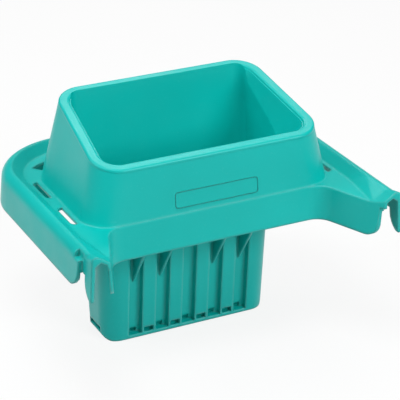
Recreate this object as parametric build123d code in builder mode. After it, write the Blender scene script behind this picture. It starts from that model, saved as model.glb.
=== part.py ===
"""Mop wringer that hangs across a bucket: a hanger frame and a press basket dropped into it.

Millimetres, +Z up, +Y towards the back. The origin is under the middle of the whole object,
on the plane of the basket's flat underside.
"""
import os
from math import atan2, cos, hypot, radians, tan

from build123d import *

# Whole object
frame_width = 286.0          # across the lower edges of the side walls
frame_depth = 245.0          # hook tips to back wall
crest_height = 147.5         # raised edge of the frame above the basket's underside
wall = 2.5                   # moulded wall thickness

# Hanger frame: shelf, outer walls, front skirt and hooks
gutter_depth = 8.0           # shelf below the raised edge
crest_width = 11.0           # outer wall to inner side of the raised edge
gutter_slope = 50.0          # degrees from upright, raised edge down to the shelf
crest_radius = 10.0          # rounded shoulder of the outer walls
side_lean = 5.0              # degrees, side and back walls spread downwards
front_lean = 4.0             # degrees, skirt and arms lean back upwards
side_wall_drop = 31.0        # raised edge to the lower edge of side and back walls
front_wall_drop = 38.0       # raised edge to the lower edge of skirt and hooks
back_radius = 72.0           # rounded back corners, seen from above
arm_reach = 58.6             # hook tips in front of the skirt
arm_root_inset = 47.5        # side wall to the arms' front walls where they leave the skirt
arm_tip_inset = 23.85        # side wall to the arms' front walls at the hook tips
arm_root_radius = 16.0
arm_setback = 4.0            # arms' front walls end behind the hook tips
arm_corner_radius = 12.0     # lower front corner of the arms' front walls
hook_inset = 4.2             # side wall to the outer faces of the hook lips
hook_lean = 3.5              # degrees, lips spread downwards
hook_radius = 3.0            # rounded outer shoulder of the hooks
lip_depth = 13.0             # hook lips, front to back
lip_gap = 4.6                # hook lip to the front end of the side wall
lip_tip_depth = 4.0          # hook lips, front to back at their lower tips
lip_drop = 35.0              # raised edge to the lower tips of the hook lips
lip_bend_drop = 21.0         # raised edge to where the lips begin to narrow
lip_bulge = 2.4              # how far the lips' back edge bows out
tip_rise = 6.0               # hook tips' outer corners above the raised edge, before rounding
tip_radius = 4.0             # rounded outer shoulder of the hook tips
ledge_length = 9.5           # notch in the shoulder at the side wall's front end
ledge_drop = 7.0             # raised edge down to that notch
ledge_inset = 3.2            # hook lips' outer faces to the notch's inner side
bridge_drop = 17.0           # raised edge to the underside of the notch's block
tongue_radius = 15.0         # rounded lower front corner of the side walls
right_wall_setback = 16.0    # the right side wall's lower part ends further back than the left one's
facet_width = 16.0           # sloping top of the hooks, from the raised edge inwards
gutter_end = 12.0            # skirt's face to the gutter's end at the raised edge
gutter_end_slant = 37.5      # how much further forward the gutter ends at the arms' front walls
gutter_end_run = 10.0        # how much further back the gutter's end begins, at its foot

# Funnel cover
side_shelf = 31.0            # side walls to the funnel's base
back_shelf = 48.5            # back wall to the funnel's base
back_rib_inset = 32.0        # back wall to the cross rib under the shelf
back_rib_width = 206.0
back_rib_drop = 51.0         # raised edge to the rib's lower edge
back_rib_radius = 12.0       # rounded lower corners of the rib
base_step = 0.5              # funnel's front behind the skirt's upper edge
base_radius = 24.0           # front corners
base_back_radius = 33.0      # back corners
rim_tilt = 12.9              # degrees, the rim is higher at the back
rim_back_inset = 19.5        # funnel's base to its rim, at the sides of the back edge
rim_front_inset = 8.8        # funnel's base to its rim, at the sides of the front edge
rim_depth_inset = 11.0       # the rim's depth is this much less than the base's
rim_radius = 24.0
rim_height = 49.0            # middle of the rim above the raised edge
rim_front_setback = 6.1      # front of the rim behind the skirt's face

# Drain slots in the shelf, beside the funnel's base
slot_width = 5.0
slot_round = 0.9             # rounded outer corners, share of the slots' width
slot_margin = 2.8            # base of the funnel to the slots
slot_front = 22.0            # skirt's face to the front slot
slot_bridge = 21.0           # shelf left between two slots
slot_ends = 46.0             # funnel's base depth that the two side slots leave free
corner_slot_width = 10.0
corner_slot_start = 50.0     # degrees round the base's back corner, from the side
corner_slot_angle = 32.0     # degrees

# Press basket: rim, flared mouth, well and corrugated strainer
rim_thickness = 3.0
rim_band = 9.5               # width of the rim, outer edge to mouth
rim_edge_radius = 2.2
rim_edge_share = 0.3         # where the inner rounding changes its slope, share of its radius
collar_height = 4.0          # rib under the rim that centres the basket in the frame
collar_clearance = 0.6
basket_inset = 14.5          # back corners of the rim to the basket's ends, at the underside
basket_front_share = 0.476   # basket's front face behind the skirt's face, share of the rim's depth
basket_back_inset = 21.4     # back of the rim to the basket's back, at the underside
basket_round = 0.34          # corner radius at the underside, share of the basket's depth there
basket_lean = 4.5            # degrees, front and back walls spread upwards
throat_drop = 64.0           # raised edge to where the flared mouth meets the straight well
throat_spread = 4.0          # the well is this much wider at the throat than at the underside
throat_round = 0.30          # corner radius at the throat, share of the basket's depth there
well_full_rise = 32.0        # raised edge up to where the well has its full width
well_full_inset = 8.5        # back corners of the rim to the well's ends, at its full width
well_full_round = 0.14       # corner radius at the full width, share of the basket's depth there
mouth_throat_inset = 28.0    # well's ends to the flared mouth at the throat
mouth_back_margin = 2.0      # keeps the mouth's back inside the well's back wall
mouth_radius = 12.0
underside_radius = 8.0       # rounded lower ends of the basket

# Corrugated front wall with drain openings
groove_count = 5
groove_end_land = 27.5       # basket's ends to the middle of the outer grooves
groove_width = 12.5
groove_depth = 6.0
groove_floor = 3.0           # underside to the grooves' lower ends
groove_top_drop = 60.0       # raised edge to the grooves' upper ends
groove_radius = 2.2
land_window_width = 9.0
land_window_floor = 3.5      # drain openings between the grooves
land_window_top = 8.5
groove_window_width = 6.0
groove_window_height = 4.0
groove_window_rise = 5.2     # middle of the drain openings in the grooves
end_window_length = 22.0
end_window_height = 5.0
end_window_rise = 6.0

# Brackets between the grooves and the skirt
bracket_thickness = 1.8
bracket_foot_drop = 96.0     # raised edge to where the free edge leaves the groove
bracket_clearance = 0.6      # to the skirt and the shelf

# Heights and lines that follow from the sizes above
y_front = -frame_depth / 2
y_back = frame_depth / 2
skirt_y = y_front + arm_reach
lip_back_y = y_front + lip_depth
side_front_y = lip_back_y + lip_gap
gutter_end_y = skirt_y - gutter_end
gutter_tip_y = gutter_end_y - gutter_end_slant
crest_z = crest_height
shelf_z = crest_z - gutter_depth
shelf_under_z = shelf_z - wall
front_wall_z = crest_z - front_wall_drop
side_wall_z = crest_z - side_wall_drop
bridge_z = crest_z - bridge_drop
half_width = frame_width / 2
half_hook = half_width - hook_inset
half_root = half_width - arm_root_inset
half_tip = half_width - arm_tip_inset
lip_top = half_hook - front_wall_drop * tan(radians(hook_lean))
half_crest = half_width - crest_width
half_ledge = half_hook - ledge_inset
facet_skin = wall / cos(atan2(gutter_depth, facet_width))
slope_run = tan(radians(gutter_slope))
slope_skin = wall / cos(radians(gutter_slope))
side_wall_rest = front_wall_drop - side_wall_drop
lean_rest = side_wall_rest * tan(radians(side_lean))
margin = 1.0                 # cuts run this far past the faces they open
gap_x = lip_top - wall - margin   # inner side of the cuts behind the hook lips

base_width = frame_width - 2 * side_shelf
base_front_y = skirt_y + (shelf_z - front_wall_z) * tan(radians(front_lean)) + base_step
base_depth = y_back - back_shelf - base_front_y
base_y = base_front_y + base_depth / 2
rim_back_width = base_width - 2 * rim_back_inset
rim_front_width = base_width - 2 * rim_front_inset
rim_depth = base_depth - rim_depth_inset
rim_run = rim_depth * cos(radians(rim_tilt))
rim_front_y = skirt_y + rim_front_setback
slot_length = (base_depth - slot_bridge - slot_ends) / 2
basket_width = rim_back_width - 2 * basket_inset
basket_front_y = skirt_y + basket_front_share * rim_depth
basket_depth = rim_front_y + rim_run - basket_back_inset - basket_front_y
basket_y = basket_front_y + basket_depth / 2
throat_z = crest_z - throat_drop
throat_width = basket_width + throat_spread
mouth_throat_width = throat_width - 2 * mouth_throat_inset
well_full_z = crest_z + well_full_rise
well_full_width = rim_back_width - 2 * well_full_inset
well_top_z = crest_z + rim_height + rim_depth * tan(radians(rim_tilt)) / 2 + rim_thickness
groove_pitch = (basket_width - 2 * groove_end_land) / (groove_count - 1)
groove_top_z = crest_z - groove_top_drop
bracket_foot_z = crest_z - bracket_foot_drop
wall_direction = Vector(0, -tan(radians(basket_lean)), 1).normalized()

base_plane = Plane((0, base_y, shelf_z - wall / 2))
rim_plane = Plane(
    origin=(0, rim_front_y + rim_run / 2, crest_z + rim_height),
    z_dir=Vector(0, 0, 1).rotate(Axis.X, rim_tilt),
    x_dir=(1, 0, 0),
)
rim_top_plane = rim_plane.offset(rim_thickness)
collar_inset = -wall - collar_clearance


def outline(plane, back_width, front_width, depth, back_round, front_round, grow=0.0):
    """A four-sided outline with rounded corners, grown or shrunk evenly."""
    with BuildSketch(plane) as sketch:
        Polygon(
            (-front_width / 2, -depth / 2),
            (front_width / 2, -depth / 2),
            (back_width / 2, depth / 2),
            (-back_width / 2, depth / 2),
            align=None,
        )
        fillet(sketch.vertices().group_by(Axis.Y)[-1], back_round)
        fillet(sketch.vertices().group_by(Axis.Y)[0], front_round)
        if grow:
            offset(amount=grow)
    return sketch.sketch


def base_outline(plane, grow=0.0):
    """The funnel's base."""
    return outline(plane, base_width, base_width, base_depth, base_back_radius, base_radius, grow)


def rim_outline(plane, grow=0.0):
    """The rim's outer edge."""
    return outline(plane, rim_back_width, rim_front_width, rim_depth, rim_radius, rim_radius, grow)


def arm_x(y):
    """Half of the space between the arms, at their lower edges."""
    return half_root + (half_tip - half_root) * (skirt_y - y) / arm_reach


def body_outline(grow=0.0):
    """Shelf and side walls seen from above, at the skirt's lower edge, without the front notch."""
    with BuildSketch(Plane.XY.offset(front_wall_z)) as sketch:
        Rectangle(frame_width + 2 * lean_rest, frame_depth + 2 * lean_rest)
        fillet(sketch.vertices().group_by(Axis.Y)[-1], back_radius + lean_rest)
        if grow:
            offset(amount=grow)
    return sketch.sketch


def front_notch(grow=0.0):
    """The space between the arms seen from above, at the skirt's lower edge."""
    open_y = y_front - lip_depth
    with BuildSketch(Plane.XY.offset(front_wall_z)) as sketch:
        Polygon(
            (-half_root, skirt_y),
            (-arm_x(open_y), open_y),
            (arm_x(open_y), open_y),
            (half_root, skirt_y),
            align=None,
        )
        fillet(sketch.vertices().group_by(Axis.Y)[-1], arm_root_radius)
        if grow:
            offset(amount=grow)
    return sketch.sketch


def gutter_rise(side):
    """The plane on which the gutter's floor rises to the top of a hook."""
    crest = Vector(side * half_crest, gutter_end_y, crest_z)
    edge = Vector(side * (half_crest - facet_width), gutter_tip_y, shelf_z)
    foot = Vector(
        side * (half_crest - gutter_depth * slope_run), gutter_end_y + gutter_end_run, shelf_z
    )
    upwards = side * (crest - edge).cross(foot - edge)
    return Plane(origin=edge, x_dir=crest - edge, z_dir=upwards)


def gutter(floor_z, inset, height, skin):
    """The space inside the raised edge, with sloping sides and a flat rise on each arm."""
    front_y = gutter_tip_y - gutter_end_slant
    with BuildPart() as block:
        with BuildSketch(Plane.XY.offset(floor_z)) as floor:
            with Locations((0, (y_back - inset + front_y) / 2)):
                Rectangle(2 * (half_width - inset), y_back - inset - front_y)
            fillet(floor.vertices().group_by(Axis.Y)[-1], back_radius - inset)
        extrude(amount=height, taper=-gutter_slope)
        for side in (1, -1):
            split(bisect_by=gutter_rise(side).offset(-skin), keep=Keep.TOP)
    return block.part


def over_facets(drop):
    """Everything above the hooks' sloping tops, lowered by a skin, on both sides."""
    with BuildSketch(Plane.XZ) as sketch:
        Polygon(
            (half_root - arm_reach, shelf_z - drop),
            (half_crest - facet_width, shelf_z - drop),
            (half_crest, crest_z - drop),
            (half_crest, crest_z + margin),
            (half_root - arm_reach, crest_z + margin),
            align=None,
        )
        mirror(about=Plane.YZ)
    facets = extrude(sketch.sketch, amount=arm_reach - gutter_end + margin, mode=Mode.PRIVATE)
    return facets.moved(Location((0, gutter_end_y, 0)))


def both_sides(x_from, x_to, y_from, y_to, z_from, z_to):
    """A block and its mirror image on the other side."""
    size = (x_to - x_from, y_to - y_from, z_to - z_from)
    with Locations(((x_from + x_to) / 2, (y_from + y_to) / 2, (z_from + z_to) / 2)):
        block = Box(*size, mode=Mode.PRIVATE)
    return [block, block.mirror(Plane.YZ)]


def corner_cuts(x_from, x_to, y, z, radius):
    """What a rounded lower front corner leaves off, on both sides."""
    with BuildSketch(Plane.YZ.offset(x_from)) as sketch:
        with Locations((y + (radius - margin) / 2, z + (radius - margin) / 2)):
            Rectangle(radius + margin, radius + margin)
        with Locations((y + radius, z + radius)):
            Circle(radius, mode=Mode.SUBTRACT)
    block = extrude(sketch.sketch, amount=x_to - x_from, mode=Mode.PRIVATE)
    return [block, block.mirror(Plane.YZ)]


def lip_cuts():
    """What the hook lips' bowed back edges and tips leave off, on both sides."""
    lip_run = lip_depth - lip_tip_depth
    lip_fall = lip_drop - lip_bend_drop
    lip_edge = hypot(lip_run, lip_fall)
    bend = (lip_back_y, crest_z - lip_bend_drop)
    tip = (y_front + lip_tip_depth, crest_z - lip_drop)
    bow = (
        (bend[0] + tip[0]) / 2 + lip_bulge * lip_fall / lip_edge,
        (bend[1] + tip[1]) / 2 - lip_bulge * lip_run / lip_edge,
    )
    with BuildSketch(Plane.YZ.offset(half_crest)) as sketch:
        with BuildLine():
            ThreePointArc(bend, bow, tip)
            Polyline(
                tip,
                (y_front - margin, tip[1]),
                (y_front - margin, front_wall_z - margin),
                (lip_back_y + margin, front_wall_z - margin),
                (lip_back_y + margin, bend[1]),
                bend,
            )
        make_face()
    block = extrude(sketch.sketch, amount=half_hook - half_crest + margin, mode=Mode.PRIVATE)
    return [block, block.mirror(Plane.YZ)]


def tip_section(y, z):
    """The right hook's tip seen from the front: sloping top and rounded outer shoulder."""
    with BuildSketch(Plane.XZ.offset(-y)) as sketch:
        Polygon(
            (half_hook, front_wall_z),
            (lip_top, z),
            (half_crest - facet_width, shelf_z),
            (half_root, shelf_z),
            (half_root, front_wall_z),
            align=None,
        )
        fillet(sketch.vertices().group_by(Axis.Y)[-1], tip_radius)
    return sketch.sketch


def well_outline(z, grow=0.0):
    """The straight well's outline at a height."""
    low = min(z, throat_z) / throat_z
    high = min(max(z - throat_z, 0) / (well_full_z - throat_z), 1)
    width = basket_width + low * throat_spread + high * (well_full_width - throat_width)
    depth = basket_depth + 2 * z * tan(radians(basket_lean))
    share = basket_round + low * (throat_round - basket_round) + high * (well_full_round - throat_round)
    corner = share * depth
    return outline(Plane((0, basket_y, z)), width, width, depth, corner, corner, grow)


def mouth_outline(grow=0.0):
    """The flared mouth's outlines at the rim and at the throat."""
    spread = throat_z * tan(radians(basket_lean))
    depth = basket_depth + 2 * spread - 2 * wall - mouth_back_margin
    throat = Plane((0, basket_y - mouth_back_margin / 2, throat_z))
    lower = outline(
        throat, mouth_throat_width, mouth_throat_width, depth, mouth_radius, mouth_radius, grow
    )
    return [rim_outline(rim_top_plane, grow - rim_band), lower]


def end_section(grow, floor_z):
    """The basket seen from the front: sides and the rounded lower corners."""
    foot = basket_width / 2 + grow
    with BuildSketch(Plane.XZ.offset(-y_back)) as sketch:
        Polygon(
            (-foot, floor_z),
            (foot, floor_z),
            (foot + throat_spread / 2, throat_z),
            (frame_width, throat_z),
            (frame_width, 2 * well_top_z),
            (-frame_width, 2 * well_top_z),
            (-frame_width, throat_z),
            (-foot - throat_spread / 2, throat_z),
            align=None,
        )
        fillet(sketch.vertices().group_by(Axis.Y)[0], underside_radius + grow)
    return sketch.sketch


def groove_row(grow, z):
    """The grooves' outlines in the front wall at a height, grown for the sleeves behind them."""
    with BuildSketch(Plane((0, basket_front_y - z * tan(radians(basket_lean)), z))) as sketch:
        with GridLocations(groove_pitch, 0, groove_count, 1):
            Rectangle(groove_width + 2 * grow, 2 * (groove_depth + grow))
        fillet(sketch.vertices(), groove_radius + grow)
    return sketch.sketch


gutter_space = gutter(
    shelf_z, crest_width + gutter_depth * slope_run, gutter_depth + margin, 0
)
gutter_skin = gutter(
    shelf_under_z, crest_width + (gutter_depth + wall) * slope_run - slope_skin, gutter_depth + wall, wall
)

# Space under the shelf and inside the raised edge
with BuildPart() as shelf_space:
    add(body_outline(-wall))
    extrude(amount=front_wall_drop - wall, taper=side_lean)
    top_edges = shelf_space.edges().group_by(Axis.Z)[-1]
    fillet(
        top_edges.filter_by(lambda e: abs(e.center().X) > half_crest - wall or e.center().Y > 0),
        crest_radius - wall,
    )
    add(front_notch(wall))
    extrude(amount=front_wall_drop, taper=-front_lean, mode=Mode.SUBTRACT)
    add(gutter_skin, mode=Mode.SUBTRACT)
    add(over_facets(facet_skin), mode=Mode.SUBTRACT)
    # Front ends of the side walls, floor and back wall of the notches
    with BuildSketch(Plane.XZ.offset(-side_front_y - wall)):
        with Locations((0, crest_z)):
            Rectangle(2 * frame_width, 2 * crest_z)
    extrude(amount=frame_depth, mode=Mode.SUBTRACT)
    add(
        both_sides(
            half_ledge - wall, half_width,
            side_front_y, side_front_y + ledge_length + wall,
            crest_z - ledge_drop - wall, crest_z,
        ),
        mode=Mode.SUBTRACT,
    )

# Space under the hooks, open at the front
with BuildPart() as hook_space:
    with BuildSketch(Plane.XZ.offset(-side_front_y - wall - margin)):
        Polygon(
            (0, front_wall_z - margin),
            (half_hook - wall, front_wall_z - margin),
            (lip_top - wall, crest_z - facet_skin - hook_radius),
            (half_crest - wall, crest_z - facet_skin),
            (half_crest - facet_width, shelf_z - facet_skin),
            (0, shelf_z - facet_skin),
            align=None,
        )
        mirror(about=Plane.YZ)
    extrude(amount=arm_reach)
    add(front_notch(wall))
    extrude(amount=front_wall_drop, taper=-front_lean, mode=Mode.SUBTRACT)

# Solid hooks, with the rounded outer shoulder
with BuildPart() as hooks:
    lap_y = side_front_y + ledge_length / 2
    with BuildSketch(Plane.XZ.offset(-lap_y)) as hook_section:
        Polygon(
            (-half_hook, front_wall_z),
            (half_hook, front_wall_z),
            (lip_top, crest_z),
            (-lip_top, crest_z),
            align=None,
        )
        fillet(hook_section.vertices().group_by(Axis.Y)[-1], hook_radius)
    extrude(amount=lap_y - lip_back_y)

# Tips of the hooks, rising towards their front ends
with BuildPart() as tips:
    add(tip_section(lip_back_y, crest_z + (lip_top - half_crest) * gutter_depth / facet_width))
    add(tip_section(y_front, crest_z + tip_rise))
    loft(ruled=True)
    mirror(about=Plane.YZ)
    add(front_notch())
    extrude(amount=front_wall_drop, taper=-front_lean, mode=Mode.SUBTRACT)

# Funnel cover
with BuildPart() as funnel:
    add(base_outline(base_plane))
    add(rim_outline(rim_plane))
    loft(ruled=True)
    add(base_outline(base_plane, -wall))
    add(rim_outline(rim_plane, -wall))
    loft(ruled=True, mode=Mode.SUBTRACT)

# Hanger frame
with BuildPart() as frame:
    # Outer block with rounded shoulders
    add(body_outline())
    extrude(amount=front_wall_drop, taper=side_lean)
    top_edges = frame.edges().group_by(Axis.Z)[-1]
    fillet(
        top_edges.filter_by(lambda e: abs(e.center().X) > half_crest or e.center().Y > 0),
        crest_radius,
    )
    with BuildSketch(Plane.XZ.offset(-side_front_y)):
        with Locations((0, crest_z)):
            Rectangle(2 * frame_width, 2 * crest_z)
    extrude(amount=frame_depth, mode=Mode.SUBTRACT)
    add(hooks.part)
    add(front_notch())
    extrude(amount=front_wall_drop, taper=-front_lean, mode=Mode.SUBTRACT)

    # Gutter inside the raised edge, sloping tops of the hooks, and the spaces under them
    add(gutter_space, mode=Mode.SUBTRACT)
    add(over_facets(0), mode=Mode.SUBTRACT)
    add(tips.part)
    add(shelf_space.part, mode=Mode.SUBTRACT)
    add(hook_space.part, mode=Mode.SUBTRACT)

    # Side and back walls end higher than the skirt
    with BuildSketch(Plane.XY.offset(front_wall_z - margin)):
        with Locations((0, (skirt_y + wall + margin + y_back) / 2)):
            Rectangle(2 * frame_width, y_back - skirt_y - wall + margin)
    extrude(amount=side_wall_rest + margin, mode=Mode.SUBTRACT)
    add(
        both_sides(
            half_hook, half_width + margin,
            side_front_y - margin, skirt_y + 2 * wall,
            front_wall_z - margin, side_wall_z,
        ),
        mode=Mode.SUBTRACT,
    )
    add(
        corner_cuts(
            gap_x, half_width + margin, side_front_y, side_wall_z, tongue_radius
        ),
        mode=Mode.SUBTRACT,
    )
    # The right side wall's lower part ends further back
    add(
        both_sides(
            gap_x, half_width + margin,
            side_front_y, side_front_y + right_wall_setback,
            front_wall_z - margin, bridge_z,
        )[0],
        mode=Mode.SUBTRACT,
    )

    # Hook lips: open behind, with a bowed back edge that narrows to the tips
    add(
        both_sides(
            gap_x, half_width + margin,
            lip_back_y, side_front_y,
            front_wall_z - margin, bridge_z,
        ),
        mode=Mode.SUBTRACT,
    )
    add(
        both_sides(
            gap_x,
            half_width - wall - (side_wall_drop - bridge_drop) * tan(radians(side_lean)),
            side_front_y - margin, side_front_y + wall + margin,
            front_wall_z - margin, bridge_z,
        ),
        mode=Mode.SUBTRACT,
    )
    add(lip_cuts(), mode=Mode.SUBTRACT)

    # Arms' front walls end behind the hook tips
    add(
        both_sides(
            half_tip - arm_corner_radius, half_tip + 3 * wall,
            y_front - margin, y_front + arm_setback,
            front_wall_z - margin, shelf_z - facet_skin,
        ),
        mode=Mode.SUBTRACT,
    )
    add(
        corner_cuts(
            half_tip - arm_corner_radius, half_tip + 3 * wall,
            y_front + arm_setback, front_wall_z, arm_corner_radius,
        ),
        mode=Mode.SUBTRACT,
    )

    # Notches in the shoulders
    add(
        both_sides(
            half_ledge, half_width + margin,
            side_front_y - margin, side_front_y + ledge_length,
            crest_z - ledge_drop, crest_z + margin,
        ),
        mode=Mode.SUBTRACT,
    )

    # Funnel cover
    with BuildSketch(base_plane.offset(-wall)):
        add(base_outline(Plane.XY, -wall))
    extrude(amount=2 * wall, mode=Mode.SUBTRACT)
    add(funnel.part)

    # Cross rib under the shelf, behind the funnel
    with BuildSketch(Plane.XZ.offset(back_rib_inset - y_back)) as rib_outline:
        with Locations((0, shelf_under_z + wall / 2)):
            Rectangle(
                back_rib_width, back_rib_drop - gutter_depth - wall / 2, align=(Align.CENTER, Align.MAX)
            )
        fillet(rib_outline.vertices().group_by(Axis.Y)[0], back_rib_radius)
    extrude(amount=wall)

    # Drain slots beside the funnel's base
    slot_x = base_width / 2 + slot_margin
    corner = (base_width / 2 - base_back_radius, base_front_y + base_depth - base_back_radius)
    corner_slot_radius = base_back_radius + slot_margin
    with BuildSketch(Plane.XY.offset(shelf_z + margin)):
        for slot_y in (skirt_y + slot_front, skirt_y + slot_front + slot_length + slot_bridge):
            with Locations((slot_x + slot_width / 2, slot_y + slot_length / 2)):
                slot = Rectangle(slot_width, slot_length)
            fillet(slot.vertices().group_by(Axis.X)[-1], slot_width * slot_round)
        with BuildLine():
            near = CenterArc(corner, corner_slot_radius, corner_slot_start, corner_slot_angle)
            far = CenterArc(
                corner, corner_slot_radius + corner_slot_width, corner_slot_start, corner_slot_angle
            )
            Line(near @ 0, far @ 0)
            Line(near @ 1, far @ 1)
        make_face()
        mirror(about=Plane.YZ)
    extrude(amount=-wall - 2 * margin, mode=Mode.SUBTRACT)

# Rim with its rounded outer edge
with BuildPart() as rim:
    extrude(rim_outline(rim_plane), amount=rim_thickness)
    fillet(rim.faces().sort_by(Axis(rim_plane.origin, rim_plane.z_dir))[-1].edges(), rim_edge_radius)

# Inside of the basket
rim_rounding = [
    (rim_edge_radius, 0),
    (rim_edge_share * rim_edge_radius, rim_edge_share * rim_edge_radius),
    (0, rim_edge_radius),
]
with BuildPart() as cavity:
    for level in ((wall, throat_z), (throat_z, well_full_z), (well_full_z, well_top_z)):
        add([well_outline(z, -wall) for z in level])
        loft(ruled=True)
    extrude(end_section(-wall, wall), amount=frame_depth, mode=Mode.INTERSECT)
    add(mouth_outline())
    loft(ruled=True)
    for (low, narrow), (high, wide) in zip(rim_rounding, rim_rounding[1:]):
        add(rim_outline(rim_top_plane.offset(-low), narrow - rim_band))
        add(rim_outline(rim_top_plane.offset(-high), wide - rim_band))
        loft(ruled=True)
    add(groove_row(wall, 0))
    extrude(amount=groove_top_z + wall, dir=wall_direction, mode=Mode.SUBTRACT)

# Press basket
with BuildPart() as basket:
    # Well with rounded ends, flared mouth and rim
    for level in ((0, throat_z), (throat_z, well_full_z), (well_full_z, well_top_z)):
        add([well_outline(z) for z in level])
        loft(ruled=True)
    extrude(end_section(0, 0), amount=frame_depth, mode=Mode.INTERSECT)
    add(mouth_outline(wall))
    loft(ruled=True)
    add(rim.part)
    with BuildSketch(rim_top_plane):
        Rectangle(frame_width, frame_depth)
    extrude(amount=crest_z, mode=Mode.SUBTRACT)

    # Rib under the rim that centres the basket in the funnel cover
    with BuildSketch(rim_plane):
        add(rim_outline(Plane.XY, collar_inset))
        add(rim_outline(Plane.XY, collar_inset - bracket_thickness), mode=Mode.SUBTRACT)
    extrude(amount=-collar_height)

    # Corrugated front wall
    add(groove_row(0, groove_floor))
    extrude(amount=groove_top_z - groove_floor, dir=wall_direction, mode=Mode.SUBTRACT)

    # Brackets that reach from the grooves to the skirt
    groove_y = basket_front_y + groove_depth - bracket_foot_z * tan(radians(basket_lean))
    bracket_top_z = shelf_under_z - bracket_clearance
    bracket_top_y = (
        skirt_y + wall + (bracket_top_z - front_wall_z) * tan(radians(front_lean)) + bracket_clearance
    )
    for bracket_x in (-2 * groove_pitch, -groove_pitch, groove_pitch, 2 * groove_pitch):
        with BuildSketch(Plane.YZ.offset(bracket_x)):
            Polygon(
                (groove_y + wall / 2, bracket_foot_z),
                (bracket_top_y, bracket_top_z),
                (basket_y, bracket_top_z),
                (basket_y, bracket_foot_z),
                align=None,
            )
        extrude(amount=bracket_thickness / 2, both=True)

    # Inside
    add(cavity.part, mode=Mode.SUBTRACT)

    # Drain openings at the foot of the front wall and of the ends
    with BuildSketch(Plane.XZ.offset(-basket_front_y + margin)):
        with Locations((0, (land_window_floor + land_window_top) / 2)):
            with GridLocations(groove_pitch, 0, groove_count - 1, 1):
                Rectangle(land_window_width, land_window_top - land_window_floor)
    extrude(amount=-wall - 2 * margin, mode=Mode.SUBTRACT)
    with BuildSketch(Plane.XZ.offset(-basket_front_y - groove_depth + margin)):
        with Locations((0, groove_window_rise)):
            with GridLocations(groove_pitch, 0, groove_count, 1):
                Rectangle(groove_window_width, groove_window_height)
    extrude(amount=-wall - 2 * margin, mode=Mode.SUBTRACT)
    add(
        both_sides(
            (basket_width - underside_radius) / 2, basket_width / 2 + margin,
            basket_y - end_window_length / 2, basket_y + end_window_length / 2,
            end_window_rise, end_window_rise + end_window_height,
        ),
        mode=Mode.SUBTRACT,
    )

frame.part.label = "hanger_frame"
basket.part.label = "press_basket"

os.makedirs("parts", exist_ok=True)
export_step(frame.part, "parts/hanger_frame.step")
export_step(basket.part, "parts/press_basket.step")
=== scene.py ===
"""Looks, light and camera for the mop wringer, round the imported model."""

import math

import bmesh
import bpy
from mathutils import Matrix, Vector
from mathutils.bvhtree import BVHTree


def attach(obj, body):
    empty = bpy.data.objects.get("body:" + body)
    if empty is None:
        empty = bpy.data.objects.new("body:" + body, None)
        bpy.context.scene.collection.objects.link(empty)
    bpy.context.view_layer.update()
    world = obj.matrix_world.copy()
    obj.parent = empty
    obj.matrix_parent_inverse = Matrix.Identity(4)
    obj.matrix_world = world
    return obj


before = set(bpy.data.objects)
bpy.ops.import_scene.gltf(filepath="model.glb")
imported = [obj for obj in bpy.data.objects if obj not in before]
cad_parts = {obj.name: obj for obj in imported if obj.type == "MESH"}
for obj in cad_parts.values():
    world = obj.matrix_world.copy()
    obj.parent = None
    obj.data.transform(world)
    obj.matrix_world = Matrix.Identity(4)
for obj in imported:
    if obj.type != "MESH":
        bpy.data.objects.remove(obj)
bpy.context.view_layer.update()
scene = bpy.context.scene

# Sockets of the Mix node, which share their names between data types
VECTOR_A, VECTOR_B, VECTOR_OUT = 4, 5, 1
COLOUR_A, COLOUR_B, COLOUR_OUT = 6, 7, 2

# Camera at the photograph's angle, metres, image 400 x 400
CAMERA_AT = Vector((-0.56166, -1.16659, 0.72709))
CAMERA_TO = Vector((-0.02307, -0.07565, 0.15559))
FOCAL_PIXELS = 1683.4
IMAGE_PIXELS = 400.0
SENSOR = 36.0

camera_data = bpy.data.cameras.new("camera")
camera_data.sensor_width = SENSOR
camera_data.lens = FOCAL_PIXELS / IMAGE_PIXELS * SENSOR
camera_data.clip_end = 20.0
camera = bpy.data.objects.new("camera", camera_data)
camera.location = CAMERA_AT
camera.rotation_euler = (CAMERA_TO - CAMERA_AT).to_track_quat("-Z", "Y").to_euler()
scene.collection.objects.link(camera)
scene.camera = camera


def linear(red, green, blue):
    """An sRGB colour of 0 to 255 as the linear values that shaders take."""
    def one(value):
        value /= 255.0
        return value / 12.92 if value <= 0.04045 else ((value + 0.055) / 1.055) ** 2.4
    return (one(red), one(green), one(blue), 1.0)


# The joint between frame and basket lies in a plane tilted to the front, under the rim
JOINT_TILT = math.radians(12.9)
JOINT_UP = (0.0, -math.sin(JOINT_TILT), math.cos(JOINT_TILT))
JOINT_POINT = (0.0, 0.0028, 0.1965)
JOINT_HEIGHT = Vector(JOINT_UP).dot(Vector(JOINT_POINT))
EDGE_ROUND = 0.0035

# Noise scales of the plastic's marks, coarse to fine
CLOUDS = 9.0
FLOW_MARKS = 26.0
DULL_PATCHES = 28.0
# Patches where edges turn lighter, partly as wear and partly as a painted highlight
RUBBED_AND_HIGHLIT_PATCHES = 55.0
SPECKS = 420.0
GRAIN = 1500.0

# Ranges of noise, and of agreement between two normals, that the marks are drawn from
MIDDLE_NOISE = 0.35, 0.65
WIDE_NOISE = 0.30, 0.70
PEAK_NOISE = 0.62, 0.80
EDGE_AGREES = 0.985, 0.80

# How strongly each mark shows, least and most
# The share of lighter edges is partly wear and partly a painted highlight
RUBBED_AND_HIGHLIT_SHARE = 0.15, 0.60
SPECK_SHARE = 0.0, 0.12
GLOSSIER, DULLER = 0.05, 0.07


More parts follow.
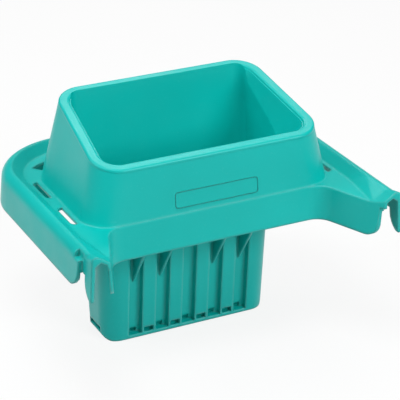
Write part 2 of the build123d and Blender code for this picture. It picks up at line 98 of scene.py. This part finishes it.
def plastic(name, colour, paler_specks_and_highlight, deeper, roughness):
    """Moulded polypropylene: cloudy colour, grain, flow marks, and lighter edges that
    are partly wear and partly a painted highlight.
    """
    material = bpy.data.materials.new(name)
    material.use_nodes = True
    nodes = material.node_tree.nodes
    links = material.node_tree.links
    shader = nodes["Principled BSDF"]
    shader.inputs["IOR"].default_value = 1.49
    shader.inputs["Specular IOR Level"].default_value = 0.34
    shader.inputs["Subsurface Weight"].default_value = 0.08
    shader.inputs["Subsurface Radius"].default_value = (0.6, 1.0, 0.95)
    shader.inputs["Subsurface Scale"].default_value = 0.0015

    place = nodes.new("ShaderNodeTexCoord")

    def noise(scale, detail, rough=0.5):
        node = nodes.new("ShaderNodeTexNoise")
        node.inputs["Scale"].default_value = scale
        node.inputs["Detail"].default_value = detail
        node.inputs["Roughness"].default_value = rough
        links.new(place.outputs["Object"], node.inputs["Vector"])
        return node.outputs["Fac"]

    def between(value, low, high, to_low, to_high):
        node = nodes.new("ShaderNodeMapRange")
        for socket, number in zip(
            ("From Min", "From Max", "To Min", "To Max"), (low, high, to_low, to_high)
        ):
            node.inputs[socket].default_value = number
        links.new(value, node.inputs["Value"])
        return node.outputs["Result"]

    def blended(factor, first, second):
        node = nodes.new("ShaderNodeMix")
        node.data_type = "RGBA"
        links.new(factor, node.inputs["Factor"])
        for index, value in ((COLOUR_A, first), (COLOUR_B, second)):
            if isinstance(value, tuple):
                node.inputs[index].default_value = value
            else:
                links.new(value, node.inputs[index])
        return node.outputs[COLOUR_OUT]

    # Softened edges, save along the flush joint under the rim
    bevel = nodes.new("ShaderNodeBevel")
    bevel.samples = 8
    bevel.inputs["Radius"].default_value = EDGE_ROUND
    shape = nodes.new("ShaderNodeNewGeometry")
    height = nodes.new("ShaderNodeVectorMath")
    height.operation = "DOT_PRODUCT"
    height.inputs[1].default_value = JOINT_UP
    links.new(place.outputs["Object"], height.inputs[0])
    flush = nodes.new("ShaderNodeMath")
    flush.operation = "COMPARE"
    links.new(height.outputs["Value"], flush.inputs[0])
    flush.inputs[1].default_value = JOINT_HEIGHT
    flush.inputs[2].default_value = EDGE_ROUND
    soft = nodes.new("ShaderNodeMix")
    soft.data_type = "VECTOR"
    links.new(flush.outputs["Value"], soft.inputs["Factor"])
    links.new(bevel.outputs["Normal"], soft.inputs[VECTOR_A])
    links.new(shape.outputs["Normal"], soft.inputs[VECTOR_B])
    softened = soft.outputs[VECTOR_OUT]

    # Lighter edges, partly edge wear and partly a painted highlight: where a softened
    # normal leaves the real one
    agree = nodes.new("ShaderNodeVectorMath")
    agree.operation = "DOT_PRODUCT"
    links.new(softened, agree.inputs[0])
    links.new(shape.outputs["Normal"], agree.inputs[1])
    edge = between(agree.outputs["Value"], *EDGE_AGREES, 0.0, 1.0)
    patches = between(noise(RUBBED_AND_HIGHLIT_PATCHES, 4.0), *MIDDLE_NOISE, *RUBBED_AND_HIGHLIT_SHARE)
    rubbed_and_highlit = nodes.new("ShaderNodeMath")
    rubbed_and_highlit.operation = "MULTIPLY"
    links.new(edge, rubbed_and_highlit.inputs[0])
    links.new(patches, rubbed_and_highlit.inputs[1])

    clouds = between(noise(CLOUDS, 3.0), *MIDDLE_NOISE, 0.0, 1.0)
    specks = between(noise(SPECKS, 2.0), *PEAK_NOISE, *SPECK_SHARE)
    body = blended(clouds, deeper, colour)
    speckled = blended(specks, body, paler_specks_and_highlight)
    # The edge colour laid over the body is partly wear and partly a painted highlight
    worn_and_highlit = blended(rubbed_and_highlit.outputs["Value"], speckled, paler_specks_and_highlight)
    links.new(worn_and_highlit, shader.inputs["Base Color"])

    dull = between(
        noise(DULL_PATCHES, 5.0, 0.6),
        *WIDE_NOISE,
        roughness - GLOSSIER,
        roughness + DULLER,
    )
    links.new(dull, shader.inputs["Roughness"])

    grain = nodes.new("ShaderNodeBump")
    grain.inputs["Strength"].default_value = 0.12
    grain.inputs["Distance"].default_value = 0.0002
    links.new(noise(GRAIN, 2.0), grain.inputs["Height"])
    links.new(softened, grain.inputs["Normal"])
    flow = nodes.new("ShaderNodeBump")
    flow.inputs["Strength"].default_value = 0.10
    flow.inputs["Distance"].default_value = 0.0012
    links.new(noise(FLOW_MARKS, 2.0), flow.inputs["Height"])
    links.new(grain.outputs["Normal"], flow.inputs["Normal"])
    links.new(flow.outputs["Normal"], shader.inputs["Normal"])
    return material


# The lighter colour serves the random specks and the lighter edges, which are partly
# wear and partly a painted highlight
TURQUOISE = linear(0, 195, 188)
PALE_SPECKS_AND_HIGHLIGHT = linear(100, 212, 206)
DEEP = linear(0, 189, 182)
FRAME_ROUGHNESS = 0.36
BASKET_ROUGHNESS = 0.34

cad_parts["hanger_frame"].data.materials[0] = plastic(
    "frame_plastic_looks", TURQUOISE, PALE_SPECKS_AND_HIGHLIGHT, DEEP, FRAME_ROUGHNESS
)
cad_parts["press_basket"].data.materials[0] = plastic(
    "basket_plastic_looks", TURQUOISE, PALE_SPECKS_AND_HIGHLIGHT, DEEP, BASKET_ROUGHNESS
)

# Thin raised frame of the bare plate on the funnel's front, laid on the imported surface
PLATE_HALF = 0.0373
PLATE_LOW, PLATE_HIGH = 0.1443, 0.1579
PLATE_ROUND = 0.0024
PLATE_RAYS_FROM = -0.2
BEAD = ((-0.0005, -0.0003), (-0.00025, 0.0004), (0.00025, 0.0004), (0.0005, -0.0003))


def rounded_rectangle(grow, steps=8):
    """Points round the plate's edge, grown outwards, as x and z."""
    middle = (PLATE_LOW + PLATE_HIGH) / 2
    across = PLATE_HALF - PLATE_ROUND
    up = (PLATE_HIGH - PLATE_LOW) / 2 - PLATE_ROUND
    radius = PLATE_ROUND + grow
    points = []
    for quarter, (sx, sz) in enumerate(((1, 1), (-1, 1), (-1, -1), (1, -1))):
        for step in range(steps + 1):
            turn = math.radians(90 * (quarter + step / steps))
            x = sx * across + radius * math.cos(turn)
            z = middle + sz * up + radius * math.sin(turn)
            points.append((x, z))
    return points


def plate_frame():
    """A closed bead that follows the plate's edge on the funnel's front."""
    shell = bmesh.new()
    shell.from_mesh(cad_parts["hanger_frame"].data)
    surface = BVHTree.FromBMesh(shell)
    shell.free()
    front = Vector((0.0, 1.0, 0.0))
    bead = bmesh.new()
    rings = []
    for grow, proud in BEAD:
        ring = []
        for x, z in rounded_rectangle(grow):
            hit, normal, _, _ = surface.ray_cast(Vector((x, PLATE_RAYS_FROM, z)), front)
            ring.append(bead.verts.new(hit + normal * proud))
        rings.append(ring)
    for here, there in zip(rings, rings[1:] + rings[:1]):
        for one in range(len(here)):
            two = (one + 1) % len(here)
            bead.faces.new((here[one], here[two], there[two], there[one]))
    bmesh.ops.recalc_face_normals(bead, faces=bead.faces)
    mesh = bpy.data.meshes.new("plate_frame")
    bead.to_mesh(mesh)
    bead.free()
    mesh.shade_smooth()
    mesh.materials.append(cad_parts["hanger_frame"].data.materials[0])
    piece = bpy.data.objects.new("plate_frame", mesh)
    scene.collection.objects.link(piece)
    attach(piece, "root")


plate_frame()


def seen_directly(tree):
    """1 for the camera's own rays and what gloss and clear pieces show, else 0."""
    path = tree.nodes.new("ShaderNodeLightPath")
    value = path.outputs["Is Camera Ray"]
    for other in ("Is Glossy Ray", "Is Transmission Ray"):
        most = tree.nodes.new("ShaderNodeMath")
        most.operation = "MAXIMUM"
        tree.links.new(value, most.inputs[0])
        tree.links.new(path.outputs[other], most.inputs[1])
        value = most.outputs["Value"]
    return value


# Floor, white to the camera, with the object's own soft shadow
FLOOR_HALF = 6.0
FLOOR_CORNERS = (-1, -1), (1, -1), (1, 1), (-1, 1)
FLOOR_CLOUDS = 3.0
FLOOR_TONES = 0.93, 0.96
FLOOR_BOUNCE = 0.45, 0.47
FLOOR_WHITE = 0.85
floor_mesh = bpy.data.meshes.new("floor")
floor_mesh.from_pydata(
    [(x * FLOOR_HALF, y * FLOOR_HALF, 0.0) for x, y in FLOOR_CORNERS],
    [],
    [(0, 1, 2, 3)],
)
floor = bpy.data.objects.new("floor", floor_mesh)
scene.collection.objects.link(floor)
paper = bpy.data.materials.new("paper")
paper.use_nodes = True
paper_tree = paper.node_tree
paper_nodes = paper_tree.nodes
paper_links = paper_tree.links
paper_tone = paper_nodes.new("ShaderNodeTexNoise")
paper_tone.inputs["Scale"].default_value = FLOOR_CLOUDS


def paper_diffuse(dull, bright):
    """Matt paper, its tone slightly cloudy."""
    mix = paper_nodes.new("ShaderNodeMix")
    mix.data_type = "RGBA"
    mix.inputs[COLOUR_A].default_value = (dull, dull, dull, 1.0)
    mix.inputs[COLOUR_B].default_value = (bright, bright, bright, 1.0)
    paper_links.new(paper_tone.outputs["Fac"], mix.inputs["Factor"])
    matt = paper_nodes.new("ShaderNodeBsdfDiffuse")
    paper_links.new(mix.outputs[COLOUR_OUT], matt.inputs["Color"])
    return matt.outputs["BSDF"]


paper_white = paper_nodes.new("ShaderNodeEmission")
paper_white.inputs["Strength"].default_value = 1.0
paper_seen = paper_nodes.new("ShaderNodeMixShader")
paper_seen.inputs["Fac"].default_value = FLOOR_WHITE
paper_links.new(paper_diffuse(*FLOOR_TONES), paper_seen.inputs[1])
paper_links.new(paper_white.outputs["Emission"], paper_seen.inputs[2])
paper_both = paper_nodes.new("ShaderNodeMixShader")
paper_links.new(seen_directly(paper_tree), paper_both.inputs["Fac"])
paper_links.new(paper_diffuse(*FLOOR_BOUNCE), paper_both.inputs[1])
paper_links.new(paper_seen.outputs["Shader"], paper_both.inputs[2])
paper_surface = paper_nodes["Material Output"].inputs["Surface"]
paper_links.new(paper_both.outputs["Shader"], paper_surface)
floor_mesh.materials.append(paper)

# Soft studio light: a pale room, brighter overhead
ROOM_SIDES, ROOM_TOP = 0.14, 0.22
ROOM_RISE = 0.40, 0.80
world = bpy.data.worlds.new("studio")
world.use_nodes = True
room_nodes = world.node_tree.nodes
room_links = world.node_tree.links
room = room_nodes["Background"]
room.inputs["Color"].default_value = (1.0, 1.0, 1.0, 1.0)
room_place = room_nodes.new("ShaderNodeTexCoord")
room_height = room_nodes.new("ShaderNodeSeparateXYZ")
room_links.new(room_place.outputs["Generated"], room_height.inputs["Vector"])
room_level = room_nodes.new("ShaderNodeMapRange")
room_level.interpolation_type = "SMOOTHSTEP"
room_level.inputs["From Min"].default_value = ROOM_RISE[0]
room_level.inputs["From Max"].default_value = ROOM_RISE[1]
room_level.inputs["To Min"].default_value = ROOM_SIDES
room_level.inputs["To Max"].default_value = ROOM_TOP
room_links.new(room_height.outputs["Z"], room_level.inputs["Value"])
room_links.new(room_level.outputs["Result"], room.inputs["Strength"])
scene.world = world


def lamp(name, at, to, size, power):
    """A soft rectangular lamp that faces a point."""
    data = bpy.data.lights.new(name, "AREA")
    data.shape = "RECTANGLE"
    data.size, data.size_y = size
    data.energy = power
    thing = bpy.data.objects.new(name, data)
    thing.location = at
    thing.rotation_euler = (Vector(to) - Vector(at)).to_track_quat("-Z", "Y").to_euler()
    scene.collection.objects.link(thing)


MIDDLE = (0.0, 0.0, 0.12)
lamp("key", (0.65, -1.65, 1.05), MIDDLE, (1.1, 0.9), 22.4)
lamp("top", (-0.40, -0.35, 1.80), MIDDLE, (0.8, 0.8), 12.2)
lamp("back", (0.45, 1.10, 1.50), MIDDLE, (1.2, 0.45), 7.6)
lamp("left", (-1.40, 0.35, 1.20), MIDDLE, (0.9, 0.9), 11.2)

scene.view_settings.view_transform = "Standard"
